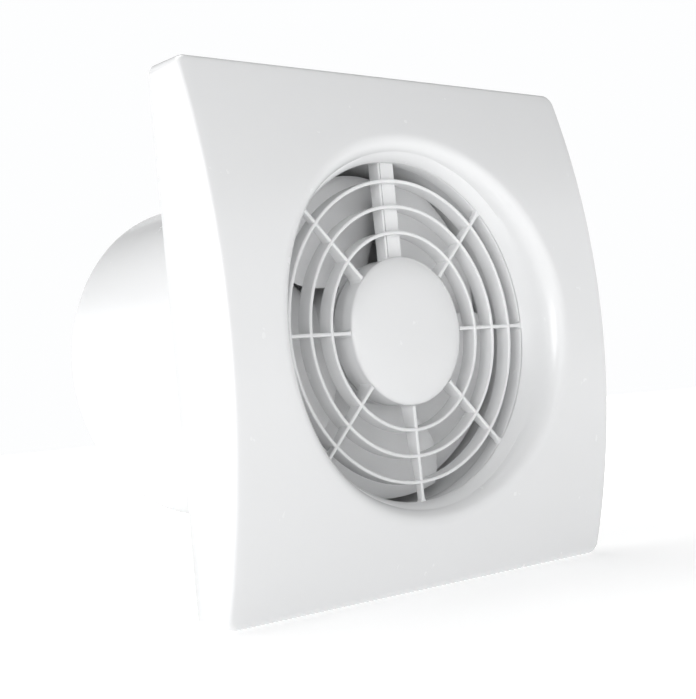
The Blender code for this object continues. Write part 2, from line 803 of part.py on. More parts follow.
def cable_entry(rubber, finish_material, steel):
    grommet = (
        (4.0, -5.0),
        (7.2, -5.0),
        (8.2, -4.0),
        (8.2, -2.8),
        (6.2, -2.8),
        (6.2, -0.3),
        (4.0, -0.3),
    )
    add("cable_grommet", turned(grommet, 20, GROMMET_AT), rubber)
    first, last = CLAMP_SCREWS_X
    low = (first - 3.0, CLAMP_FRONT, CLAMP_Z - 2.8)
    bar = box(low, (last + 3.0, CLAMP_FRONT + CLAMP_THICK, CLAMP_Z + 2.8))
    clamp = add("cable_clamp", bar, finish_material)
    combine(clamp, "DIFFERENCE", [rod(1.3, -9.0, -5.0, 10, (x, CLAMP_Z)) for x in CLAMP_SCREWS_X])
    for k, x in enumerate(CLAMP_SCREWS_X):
        screw(f"clamp_screw_{k + 1}", (x, CLAMP_Z), (2.2, -10.4, -8.6), (0.95, -4.0), steel)


def motor_lead(finish_material):
    """The motor's own lead, from the front shield through the top spoke to the terminal block."""
    route = (
        (0.0, -2.9, LEAD_HOLE_AT),
        (0.0, -5.6, LEAD_HOLE_AT),
        (0.0, -7.9, 19.6),
        (0.0, -8.7, 22.0),
        (0.0, -8.75, 40.0),
        (0.0, -8.75, 60.0),
        (0.6, -8.8, 64.0),
        (3.0, -8.6, 68.0),
        (8.0, -7.6, 71.2),
        (16.0, -6.8, 72.8),
        (28.0, -6.6, 73.0),
        (37.5, -6.6, 73.0),
    )
    return wire("motor_lead", route, LEAD_RADIUS, 2, finish_material)


def main():
    clear_scene()
    gloss_white = material("gloss_white_abs", (0.86, 0.87, 0.88), 0.28)
    inner_white = material("white_abs_inside", (0.82, 0.83, 0.84), 0.4)
    steel = material("zinc_plated_steel", (0.62, 0.63, 0.65), 0.32, 1.0)
    iron = material("laminated_iron", (0.33, 0.34, 0.36), 0.5, 0.9)
    copper = material("enamelled_copper", (0.62, 0.27, 0.12), 0.35, 0.8)
    bronze = material("sintered_bronze", (0.55, 0.4, 0.2), 0.5, 0.9)
    rubber = material("black_rubber", (0.03, 0.03, 0.032), 0.75)
    block_grey = material("terminal_nylon", (0.78, 0.78, 0.76), 0.5)
    lead_white = material("lead_sheath", (0.75, 0.75, 0.74), 0.45)

    slide = axis_empty("front_cover_slide", (0.0, 0.0, 0.0))
    spin = axis_empty("impeller_axis", (0.0, 0.0, 0.0))
    front_cover(gloss_white, slide)
    fan_body(gloss_white)
    guard(gloss_white)
    dome_cap(gloss_white)
    wire_channel_cover(inner_white)
    rotor(inner_white, steel, iron, spin)
    motor(steel, iron, copper, bronze)
    fasteners(steel, rubber)
    shutter(inner_white, steel)
    terminal_block(block_grey, steel)
    cable_entry(rubber, block_grey, steel)
    motor_lead(lead_white)


main()
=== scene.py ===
"""Finished surfaces, materials, stage, light and camera for the square-faced axial extract fan.

Lengths are in millimetres, and become metres where a mesh is made. The frame's +Z is up, -Y faces the room
and +Y runs into the duct. Each fine piece stands for the CAD node whose name it carries.
"""

import json
import math

import bmesh
import bpy
from mathutils import Matrix, Vector


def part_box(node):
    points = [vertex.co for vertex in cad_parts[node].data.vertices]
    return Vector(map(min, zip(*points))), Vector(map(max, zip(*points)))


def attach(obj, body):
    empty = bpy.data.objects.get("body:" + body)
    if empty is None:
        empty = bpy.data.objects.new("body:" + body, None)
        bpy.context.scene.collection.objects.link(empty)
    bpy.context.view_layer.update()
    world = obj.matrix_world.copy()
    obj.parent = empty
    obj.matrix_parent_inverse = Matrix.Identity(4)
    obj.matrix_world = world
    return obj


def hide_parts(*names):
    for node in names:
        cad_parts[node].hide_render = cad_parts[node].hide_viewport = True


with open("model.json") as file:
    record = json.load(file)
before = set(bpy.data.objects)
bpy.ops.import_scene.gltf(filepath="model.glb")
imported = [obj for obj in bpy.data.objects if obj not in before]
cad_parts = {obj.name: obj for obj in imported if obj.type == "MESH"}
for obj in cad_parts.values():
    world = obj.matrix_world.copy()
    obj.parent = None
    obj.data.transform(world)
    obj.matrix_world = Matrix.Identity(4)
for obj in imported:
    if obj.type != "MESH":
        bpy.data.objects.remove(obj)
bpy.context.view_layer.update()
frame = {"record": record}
MM = 0.001


def extent(node):
    """A CAD node's lowest and highest corners, in millimetres."""
    low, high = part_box(node)
    return low / MM, high / MM


# Sizes read from the frame
COVER_LOW, COVER_HIGH = extent("front_cover")
HALF = COVER_HIGH.x
CROWN = -COVER_LOW.y
COVER_REAR = COVER_HIGH.y
BODY_LOW, BODY_HIGH = extent("fan_body")
PLATE_HALF = BODY_HIGH.x
RIM_HEIGHT = -BODY_LOW.y
SPIGOT_LENGTH = BODY_HIGH.y
GUARD_LOW, GUARD_HIGH = extent("inlet_guard")
GUARD_FRONT = GUARD_LOW.y
DOME_LOW, DOME_HIGH = extent("motor_dome_cap")
DOME_RADIUS = DOME_HIGH.x
DOME_FRONT = DOME_LOW.y
BLOCK_LOW, BLOCK_HIGH = extent("terminal_block")
PIN_Y = sum(corner.y for corner in extent("shutter_pin")) / 2.0

# Cover
GAP = 0.3
PAST = 1.0  # how far a cutter reaches past the face that it opens
FACE_BULGE = 14.3
COVER_WALL = 2.2
MOUTH_WALL = 1.8
EDGE_ROUND = 1.6
COVER_CORNER_RADIUS = 4.0
COVER_EDGE_STEP = 0.4  # the small round of the rear edge
COVER_BUMP_Y = (-5.5, -3.5)
COVER_BUMP_HALF = 7.0
LIP_RADIUS = 67.4
LIP_CORNER = 62.6
THROAT_RADIUS = 58.6
THROAT_STEPS = ((0.0, 0.0), (1.7, 4.0))  # out from the throat, and forward of the guard
ROLL_START = (2.4, 4.4)  # the same, where the lip's roll begins
ROLL_DEPTH = 8.0

# Guard
THROAT_WALL = 3.0
RING_RADII = (34.0, 43.0, 51.9)
RING_WALL = 1.3
RING_DEPTH = 6.0
SPOKES = 8
TOP_SPOKE = 2
FIN_DEPTHS = (6.6, 2.2)  # at the cup and at the throat
FIN_FLARE = (0.9, 0.55)  # how much wider at its ends, and over what length
CHANNEL_WIDTH = 7.4
CHANNEL_FRONT = -11.2
CHANNEL_REAR = -6.2
CHANNEL_SIDE = 1.2
CHANNEL_FACE = 1.3
GROOVE_FROM_EDGE = 0.55
GROOVE = 0.5  # its width and its depth
LUG_RADIUS = 66.3
LUG_HALF = 4.0
LUG_Y = (-10.8, -7.9)
LUG_HOLE = 1.75
CUP_RADIUS = 25.2
CUP_WALL = 1.6
CUP_FLOOR = -4.2
CUP_FLOOR_THICK = 1.2
CUP_FRONT = -13.3
CUP_BORE = 6.2
BUSH_HOLE = 2.9
LEAD_HOLE_AT = 18.5
LEAD_RADIUS = 1.1
DOME_EDGE = -13.6
DOME_POWER = 2.6

# Body
SPIGOT_RADIUS = 62.0
SPIGOT_BORE = 60.0
PLATE_THICK = 2.5
PLATE_CORNER_RADIUS = 4.0
RIM_WALL = 1.6
WALL_SCREW_AT = 76.0
WALL_SCREW_HOLE = 2.3
GROMMET_AT = (73.0, 50.0)
GROMMET_HOLE = 6.5
BOSS_RADIUS = 3.4
BOSS_HOLE = 1.6
BOSS_ROOT = -1.2
BOSS_HOLE_END = -3.2
CLAMP_BOSS_RADIUS = 2.6
CLAMP_BOSS_HOLE = 1.2
CLAMP_BOSS_FRONT = -5.2
PLATE_RIBS = 8
PLATE_RIB = ((61.2, -4.6, -0.6), (83.2, -1.2, 0.6))
CLAMP_SCREWS_X = (66.5, 77.5)
CLAMP_Z = 62.0

# Rotor
BLADES = 5
BLADE_TIP = 57.2
BLADE_THICK = 1.6
BLADE_MIDDLE = 124.0
BLADE_FRONT = -0.8
BLADE_REAR = 9.4
BLADE_DISH = 0.35  # how far its section bends back between its edges
BLADE_FLARE = (0.9, 0.8)  # how much thicker at the hub, and over what length
BLADE_TIP_ROUND = 0.7
LEAD_ANGLES = (8.0, 21.5)  # the leading edge at the root, and how far it sweeps on from there
TRAIL_ANGLES = (46.0, 10.0)  # the same for the trailing edge, on the other side of the middle
HUB_RADIUS = 24.5
HUB_FRONT = -2.2
HUB_REAR = 24.0
HUB_WALL = 1.6
HUB_BOSS = 4.5
HUB_RIBS = 6
SHAFT_RADIUS = 2.0
SHAFT_Y = (-7.1, 31.0)
ROTOR_CORE_RADIUS = 11.8
ROTOR_CORE_Y = (4.0, 13.6)
WASHER_RADIUS = 4.2
NUT_RADIUS = 4.2
NUT_END = 30.0
RUN = 0.1

# Motor
MOTOR_RADIUS = 21.0
SHIELD_WALL = 1.4
STACK = (3.8, 13.8)
STACK_BORE = 12.3
STACK_SHEETS = 20
MOTOR_SCREWS = 3
MOTOR_SCREW_RING = 13.0
COIL_RADII = (13.4, 19.2)
COIL_WIRE = 0.28
BEARING_RADIUS = 4.5

# Shutter
PIN_RADIUS = 1.25
PIN_END = 59.0
FLAP_RADIUS = 56.8
FLAP_Y = (-4.2, -3.0)
FLAP_EDGE = 1.2
FLAP_RIBS_Z = (-24.0, 24.0)
FLAP_RIB_X = (8.0, 47.0)
FLAP_RIB_REAR = -1.8
LEFT_KNUCKLES = ((18.0, 28.0), (-40.0, -30.0))
RIGHT_KNUCKLES = ((30.0, 40.0), (-28.0, -18.0))
LEFT_SPRING_Z = 4.0
RIGHT_SPRING_Z = -10.0
FRAME_RADIUS = 59.7
FRAME_BORE = 57.4
FRAME_SEAT = 3.2
KNUCKLE_RADIUS = 2.4
SPRING_WIRE = 0.35

# Looks
ROUND = 160  # segments of a large circle
SMALL = 40  # segments of a screw or a bush
FINE = 96  # segments of the motor's round parts
SHARP = 38.0  # degrees past which an edge stays sharp
BEVEL_ANGLE = 50.0  # degrees past which an edge is rounded
PATCHES = 28.0  # noise cells in a metre, for the tone
GLOSS_PATCHES = 190.0  # and for the gloss
MIX_LOW, MIX_HIGH, MIX_COLOUR = 6, 7, 2  # the colour sockets of a Mix node

# Stage, light and camera, in metres, degrees and watts
FLOOR_HALF = 6.0
LIGHT_DISTANCE = 1.3
SKY_STRENGTH = 0.1
HORIZON_BAND = (0.3, 0.4)  # sines of the heights between which the white fades
FLOOR_GLOW = (0.4, 0.95)  # glow near the fan and far from it; the weaker glow near the fan is painted shade round its foot
GLOW_REACH = (0.12, 0.6)  # distances from the fan over which the painted shade gives way to the even far glow
SOFT_BOXES = (  # name, degrees round from the front, degrees up, size, watts
    ("key_left", -68.0, 6.0, 0.7, 6.0),
    ("fill_front_left", -30.0, 4.0, 0.7, 1.5),
    ("rim_left", -110.0, 12.0, 0.9, 3.5),
)
OVERHEAD = ((0.0, 0.35, 1.3), (0.0, 0.1, -0.1), 1.2, 9.0)  # place, aim, size, watts
CAMERA_PLACE = (-338.15, -361.0, -24.94)  # in millimetres
CAMERA_YAW = -41.79
CAMERA_TILT = 2.418
CAMERA_ROLL = -5.52
FOCAL_LENGTH = 73.106
SENSOR_WIDTH = 36.0

BODY_OF = {node: body for body, nodes in frame["record"]["behaviour"]["bodies"].items() for node in nodes}
SLOT_OF = {part["node"]: part["material_slot"] for part in frame["record"]["subparts"]}


# ---------------------------------------------------------------- materials


def surface(name, colour, roughness, metallic=0.0, tone=0.03, spread=0.1, grain=1600.0, relief=0.01,
            stretch=(1.0, 1.0, 1.0), coat=0.0):
    """A Principled material whose tone, gloss and relief follow noise in the object's own space.

    tone and spread are the shares by which colour and roughness vary, grain is the relief's number of
    cells in a metre, relief is its height in millimetres, and stretch draws the grain out along an axis.
    """
    made = bpy.data.materials.new(name)
    made.use_nodes = True
    nodes, links = made.node_tree.nodes, made.node_tree.links
    shader = nodes["Principled BSDF"]
    shader.inputs["Metallic"].default_value = metallic
    shader.inputs["Coat Weight"].default_value = coat
    shader.inputs["Coat Roughness"].default_value = 0.12
    where = nodes.new("ShaderNodeTexCoord")
    place = nodes.new("ShaderNodeMapping")
    place.inputs["Scale"].default_value = stretch
    links.new(where.outputs["Object"], place.inputs["Vector"])

    def noise(scale, detail):
        node = nodes.new("ShaderNodeTexNoise")
        node.inputs["Scale"].default_value = scale
        node.inputs["Detail"].default_value = detail
        links.new(place.outputs["Vector"], node.inputs["Vector"])
        return node.outputs["Fac"]

    patches = noise(PATCHES, 3.0)
    mix = nodes.new("ShaderNodeMix")
    mix.data_type = "RGBA"
    links.new(patches, mix.inputs["Factor"])
    mix.inputs[MIX_LOW].default_value = (*[part * (1.0 - tone) for part in colour], 1.0)
    mix.inputs[MIX_HIGH].default_value = (*[min(1.0, part * (1.0 + tone)) for part in colour], 1.0)
    links.new(mix.outputs[MIX_COLOUR], shader.inputs["Base Color"])
    gloss = nodes.new("ShaderNodeMapRange")
    gloss.inputs["To Min"].default_value = roughness * (1.0 - spread)
    gloss.inputs["To Max"].default_value = roughness * (1.0 + spread)
    links.new(noise(GLOSS_PATCHES, 4.0), gloss.inputs["Value"])
    links.new(gloss.outputs["Result"], shader.inputs["Roughness"])
    bump = nodes.new("ShaderNodeBump")
    bump.inputs["Strength"].default_value = 0.6
    bump.inputs["Distance"].default_value = relief * MM
    links.new(noise(grain, 2.0), bump.inputs["Height"])
    links.new(bump.outputs["Normal"], shader.inputs["Normal"])
    return made


FINISH = {
    "gloss_white": surface("gloss_white_abs", (0.78, 0.785, 0.79), 0.26, tone=0.006, spread=0.12,
                           grain=700.0, relief=0.006, coat=0.25),
    "inner_white": surface("satin_white_abs", (0.76, 0.765, 0.77), 0.42, tone=0.01, grain=2600.0,
                           relief=0.012),
    "impeller_white": surface("impeller_abs", (0.74, 0.745, 0.75), 0.36, tone=0.012, grain=1800.0,
                              relief=0.01),
    "steel": surface("zinc_plated_steel", (0.62, 0.63, 0.65), 0.3, 1.0, tone=0.08, spread=0.25,
                     grain=900.0, relief=0.01, stretch=(1.0, 6.0, 1.0)),
    "iron": surface("varnished_laminations", (0.24, 0.25, 0.27), 0.45, 0.85, tone=0.15, spread=0.2,
                    grain=1200.0, relief=0.02, stretch=(0.2, 6.0, 0.2)),
    "copper": surface("enamelled_copper", (0.6, 0.24, 0.09), 0.28, 0.8, tone=0.14, spread=0.25,
                      grain=1500.0, relief=0.02),
    "bronze": surface("sintered_bronze", (0.5, 0.36, 0.18), 0.48, 0.9, tone=0.12, spread=0.2,
                      grain=4200.0, relief=0.03),
    "rubber": surface("black_rubber", (0.025, 0.025, 0.027), 0.7, tone=0.2, grain=2400.0, relief=0.03),
    "nylon": surface("terminal_nylon", (0.7, 0.7, 0.66), 0.46, tone=0.02, grain=2200.0, relief=0.015),
    "lead_sheath": surface("pvc_sheath", (0.7, 0.7, 0.69), 0.4, tone=0.02, grain=1400.0, relief=0.02),
}


# ---------------------------------------------------------------- meshes


def polar(radius, degrees):
    """(x, z) at this radius and angle, anticlockwise as seen from the room, from +X."""
    angle = math.radians(degrees)
    return radius * math.cos(angle), radius * math.sin(angle)


def finish(bm):
    bmesh.ops.recalc_face_normals(bm, faces=bm.faces)
    return bm


def bridge(bm, first, second):
    """Faces between two loops of one length, or between a loop and a single point."""
    count = max(len(first), len(second))
    for i in range(count):
        after = (i + 1) % count
        if len(second) == 1:
            bm.faces.new((first[i], first[after], second[0]))
        elif len(first) == 1:
            bm.faces.new((first[0], second[after], second[i]))
        else:
            bm.faces.new((first[i], first[after], second[after], second[i]))


def lofted(loops, closed=True):
    """A skin through loops of (x, y, z) points, whose last loop joins the first, or else both are capped."""
    bm = bmesh.new()
    made = [[bm.verts.new(Vector(point) * MM) for point in loop] for loop in loops]
    for i in range(len(made) if closed else len(made) - 1):
        bridge(bm, made[i], made[(i + 1) % len(made)])
    if not closed:
        bm.faces.new(made[0])
        bm.faces.new(made[-1])
    return finish(bm)


def bent(start, middle, end, t):
    """The point at t, from 0 to 1, of the curve from start to end that leans towards middle."""
    return (1 - t) ** 2 * start + 2 * t * (1 - t) * middle + t**2 * end


def rounded(outline, radius=0.4, steps=3):
    """A closed outline of (a, b) points with its corners rounded, apart from points on the axis, a = 0."""
    points = [Vector(point) for point in outline]
    made = []
    for i, corner in enumerate(points):
        before, after = points[i - 1], points[(i + 1) % len(points)]
        back, ahead = before - corner, after - corner
        turn = math.pi - back.angle(ahead)
        if corner.x == 0.0 or turn < math.radians(18.0):
            made.append(tuple(corner))
            continue
        cut = min(radius * math.tan(turn / 2.0), 0.45 * back.length, 0.45 * ahead.length)
        start, end = corner + back.normalized() * cut, corner + ahead.normalized() * cut
        for k in range(steps + 1):
            made.append(tuple(bent(start, corner, end, k / steps)))
    return made


def turned(outline, segments=ROUND, centre=(0.0, 0.0)):
    """A closed (radius, y) outline turned about a line along Y through centre, an (x, z)."""
    bm = bmesh.new()
    loops = []
    for radius, y in outline:
        if radius == 0.0:
            loops.append([bm.verts.new(Vector((centre[0], y, centre[1])) * MM)])
            continue
        loop = []
        for k in range(segments):
            x, z = polar(radius, 360.0 * (k + 0.37) / segments)
            loop.append(bm.verts.new(Vector((centre[0] + x, y, centre[1] + z)) * MM))
        loops.append(loop)
    for i, loop in enumerate(loops):
        after = loops[(i + 1) % len(loops)]
        if len(loop) > 1 or len(after) > 1:
            bridge(bm, loop, after)
    return finish(bm)


def prism(outline, y_low, y_high):
    """An (x, z) outline extruded along Y."""
    return lofted([[(x, y, z) for x, z in outline] for y in (y_low, y_high)], closed=False)


def box(low, high):
    outline = ((low[0], low[2]), (high[0], low[2]), (high[0], high[2]), (low[0], high[2]))
    return prism(outline, low[1], high[1])


def rod(radius, y_low, y_high, segments=SMALL, centre=(0.0, 0.0)):
    return turned(((0.0, y_low), (radius, y_low), (radius, y_high), (0.0, y_high)), segments, centre)


def upright(bm):
    """The same mesh with its Y axis turned to +Z."""
    bmesh.ops.rotate(bm, matrix=Matrix.Rotation(math.radians(90.0), 3, "X"), verts=bm.verts)
    return bm


def moved(bm, offset):
    bmesh.ops.translate(bm, vec=Vector(offset) * MM, verts=bm.verts)
    return bm


def spun(bm, degrees, centre=(0.0, 0.0)):
    """The same mesh turned about a line along Y, anticlockwise as seen from the room."""
    pivot = Vector((centre[0], 0.0, centre[1])) * MM
    turn = Matrix.Rotation(math.radians(-degrees), 3, "Y")
    bmesh.ops.rotate(bm, matrix=turn, cent=pivot, verts=bm.verts)
    return bm


def square_outline(half, corner_radius, per_side=1, per_corner=8):
    """A rounded square in (x, z), anticlockwise from the middle of its +X side."""
    straight = half - corner_radius
    side = [(half, straight * (2.0 * (k + 1) / per_side - 1.0)) for k in range(per_side)]
    for k in range(1, per_corner + 1):
        x, z = polar(corner_radius, 90.0 * k / per_corner)
        side.append((straight + x, straight + z))
    points = []
    for quarter in range(4):
        cos, sin = polar(1.0, 90.0 * quarter)
        points += [(x * cos - z * sin, x * sin + z * cos) for x, z in side]
    return points


# ---------------------------------------------------------------- pieces


def piece(node, bm, sharp=SHARP):
    """A fine piece in the place of a CAD node, on the node's body and in its slot's finish."""
    slot = SLOT_OF[node]
    mesh = bpy.data.meshes.new(f"{node}_fine")
    bm.to_mesh(mesh)
    bm.free()
    mesh.materials.append(FINISH[slot])
    mesh.shade_smooth()
    mesh.set_sharp_from_angle(angle=math.radians(sharp))
    obj = bpy.data.objects.new(mesh.name, mesh)
    bpy.context.scene.collection.objects.link(obj)
    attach(obj, BODY_OF[node])
    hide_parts(node)
    return obj


def combine(obj, operation, shapes):
    """Cut the shapes from the piece, or join them to it."""
    helpers = []
    for shape in shapes:
        mesh = bpy.data.meshes.new("helper")
        shape.to_mesh(mesh)
        shape.free()
        mesh.shade_smooth()
        helper = bpy.data.objects.new("helper", mesh)
        bpy.context.scene.collection.objects.link(helper)
        helpers.append(helper)
        modifier = obj.modifiers.new(operation.lower(), "BOOLEAN")
        modifier.operation = operation
        modifier.solver = "EXACT"
        modifier.object = helper
    graph = bpy.context.evaluated_depsgraph_get()
    obj.data = bpy.data.meshes.new_from_object(obj.evaluated_get(graph))
    obj.modifiers.clear()
    for helper in helpers:
        bpy.data.objects.remove(helper, do_unlink=True)
    obj.data.shade_smooth()
    obj.data.set_sharp_from_angle(angle=math.radians(SHARP))
    return obj


def softened(obj, width, segments=2):
    """The piece with its sharp edges rounded by this width."""
    bevel = obj.modifiers.new("edges", "BEVEL")
    bevel.width = width * MM
    bevel.segments = segments
    bevel.limit_method = "ANGLE"
    bevel.angle_limit = math.radians(BEVEL_ANGLE)
    bevel.harden_normals = True
    return obj


# ---------------------------------------------------------------- front cover


def face_depth(z):
    """How far the curved face stands out from the wall at this height."""
    curve = (HALF**2 + FACE_BULGE**2) / (2.0 * FACE_BULGE)
    height = min(abs(z), HALF)
    return CROWN + math.sqrt(curve**2 - height**2) - curve


def mouth_loops(outline, inset, steps):
    """The mouth's loops from the throat out to the face, inset towards the wall side."""
    rays = [Vector((x, z)).normalized() for x, z in outline]
    loops = []
    for out, forward in THROAT_STEPS:
        radius = THROAT_RADIUS + out + inset
        loops.append([(radius * ray.x, GUARD_FRONT - forward, radius * ray.y) for ray in rays])
    out, forward = ROLL_START
    for k in range(steps + 1):
        loop = []
        for ray in rays:
            rolled = face_depth(LIP_RADIUS * ray.y) - inset
            corner = face_depth(LIP_CORNER * ray.y) - inset
            start = Vector((THROAT_RADIUS + out + inset, max(forward - GUARD_FRONT, corner - ROLL_DEPTH)))
            middle = Vector((LIP_CORNER + 0.4 * inset, corner))
            end = Vector((LIP_RADIUS, rolled))
            at = bent(start, middle, end, k / steps)
            loop.append((at.x * ray.x, -at.y, at.x * ray.y))
        loops.append(loop)
    return loops


def face_loops(outline, inset, shares):
    """Loops on the face between the mouth and the outline."""
    loops = []
    for share in shares:
        loop = []
        for x, z in outline:
            scale = LIP_RADIUS / math.hypot(x, z)
            at = scale + (1.0 - scale) * share
            loop.append((x * at, inset - face_depth(z * at), z * at))
        loops.append(loop)
    return loops


def front_cover():
    rays = (40, 8)
    edge_steps, face_steps = 6, 12
    top = square_outline(HALF - EDGE_ROUND, COVER_CORNER_RADIUS - EDGE_ROUND + 0.6, *rays)
    outer = square_outline(HALF, COVER_CORNER_RADIUS, *rays)
    inner = square_outline(HALF - COVER_WALL, COVER_CORNER_RADIUS - EDGE_ROUND, *rays)
    loops = mouth_loops(top, 0.0, 14)
    loops += face_loops(top, 0.0, [(k + 1) / face_steps for k in range(face_steps)])
    for k in range(1, edge_steps + 1):
        inset, drop = polar(EDGE_ROUND, 90.0 * k / edge_steps)
        inset, drop = EDGE_ROUND - drop, EDGE_ROUND - inset
        share = square_outline(HALF - inset, COVER_CORNER_RADIUS - 0.6 * inset, *rays)
        loops.append([(x, drop - face_depth(z), z) for x, z in share])
    loops.append([(x, COVER_REAR - COVER_EDGE_STEP, z) for x, z in outer])
    rim = square_outline(HALF - 0.3, COVER_CORNER_RADIUS - 0.2, *rays)
    loops.append([(x, COVER_REAR, z) for x, z in rim])
    loops.append([(x, COVER_REAR, z) for x, z in inner])
    loops.append([(x, COVER_WALL - face_depth(z), z) for x, z in inner])
    loops += face_loops(inner, COVER_WALL, [0.75, 0.5, 0.25])
    loops += mouth_loops(inner, MOUTH_WALL, 8)[::-1]
    cover = piece("front_cover", lofted(loops))
    near, reach = PLATE_HALF + GAP, HALF - COVER_WALL + 0.8
    front, rear = COVER_BUMP_Y
    bump = rounded(((near, front), (reach, front), (reach, rear), (near, rear)), 0.6, 4)
    ends = (-COVER_BUMP_HALF, COVER_BUMP_HALF)
    bumps = []
    for k in range(4):
        loops = [[(x, y, z) for x, y in bump] for z in ends]
        bumps.append(spun(lofted(loops, closed=False), 90.0 * k))
    return combine(cover, "UNION", bumps)


# ---------------------------------------------------------------- body and spigot


def lug_places():
    return [polar(LUG_RADIUS, 45.0 + 90.0 * k) for k in range(4)]


def fan_body():
    body = piece("fan_body", prism(square_outline(PLATE_HALF, PLATE_CORNER_RADIUS), -RIM_HEIGHT, 0.0))
    inside = square_outline(PLATE_HALF - RIM_WALL, PLATE_CORNER_RADIUS - RIM_WALL)
    pocket = prism(inside, -RIM_HEIGHT - PAST, -PLATE_THICK)
    through = (-RIM_HEIGHT - 1.5 * PAST, PAST)
    duct = rod((SPIGOT_BORE + SPIGOT_RADIUS) / 2.0, *through, ROUND)
    combine(body, "DIFFERENCE", [pocket, duct])
    clamp_places = [(x, CLAMP_Z) for x in CLAMP_SCREWS_X]
    tube = (
        (SPIGOT_BORE, -RIM_HEIGHT),
        (SPIGOT_RADIUS, -RIM_HEIGHT),
        (SPIGOT_RADIUS, SPIGOT_LENGTH),
        (SPIGOT_BORE, SPIGOT_LENGTH),
    )
    shapes = [turned(rounded(tube, 0.7, 4))]
    shapes += [rod(BOSS_RADIUS, 0.1 - RIM_HEIGHT, BOSS_ROOT, SMALL, place) for place in lug_places()]
    shapes += [rod(CLAMP_BOSS_RADIUS, CLAMP_BOSS_FRONT, BOSS_ROOT, SMALL, place) for place in clamp_places]
    for k in range(PLATE_RIBS):
        shapes.append(spun(box(*PLATE_RIB), 360.0 * (k + 0.5) / PLATE_RIBS))
    combine(body, "UNION", shapes)
    holes = [rod(BOSS_HOLE, through[0], BOSS_HOLE_END, SMALL, place) for place in lug_places()]
    holes += [rod(CLAMP_BOSS_HOLE, through[0], BOSS_HOLE_END, SMALL, place) for place in clamp_places]
    holes.append(rod(GROMMET_HOLE, *through, SMALL, GROMMET_AT))
    for x in (-WALL_SCREW_AT, WALL_SCREW_AT):
        for z in (-WALL_SCREW_AT, WALL_SCREW_AT):
            holes.append(rod(WALL_SCREW_HOLE, *through, SMALL, (x, z)))
    combine(body, "DIFFERENCE", holes)
    return softened(body, 0.25)


# ---------------------------------------------------------------- guard


def fin():
    """A guard spoke along +X with rounded edges, flared where it meets the cup and the throat."""
    start, end = CUP_RADIUS - 0.8, THROAT_RADIUS + 0.8
    beside_dome = DOME_RADIUS + GAP
    front = GUARD_FRONT + 0.1
    stations = [start, beside_dome, beside_dome + 0.05]
    stations += [beside_dome + share * (THROAT_RADIUS - beside_dome) for share in
                 (0.01, 0.025, 0.045, 0.08, 0.3, 0.6, 0.9, 0.955, 0.98, 0.995)]
    stations.append(end)
    loops = []
    for x in stations:
        share = (x - start) / (end - start)
        near = min(x - CUP_RADIUS, THROAT_RADIUS - x)
        side = RING_WALL / 2.0 + FIN_FLARE[0] * math.exp(-max(near, 0.0) / FIN_FLARE[1])
        top = CUP_FRONT + 0.1 if x <= beside_dome else front
        rear = front + FIN_DEPTHS[0] + (FIN_DEPTHS[1] - FIN_DEPTHS[0]) * share
        section = rounded(((side, top), (side, rear), (-side, rear), (-side, top)), 0.5, 4)
        loops.append([(x, y, z) for z, y in section])
    return lofted(loops, closed=False)


def motor_screw_places():
    step = 360.0 / MOTOR_SCREWS
    return [polar(MOTOR_SCREW_RING, 30.0 + step * k) for k in range(MOTOR_SCREWS)]


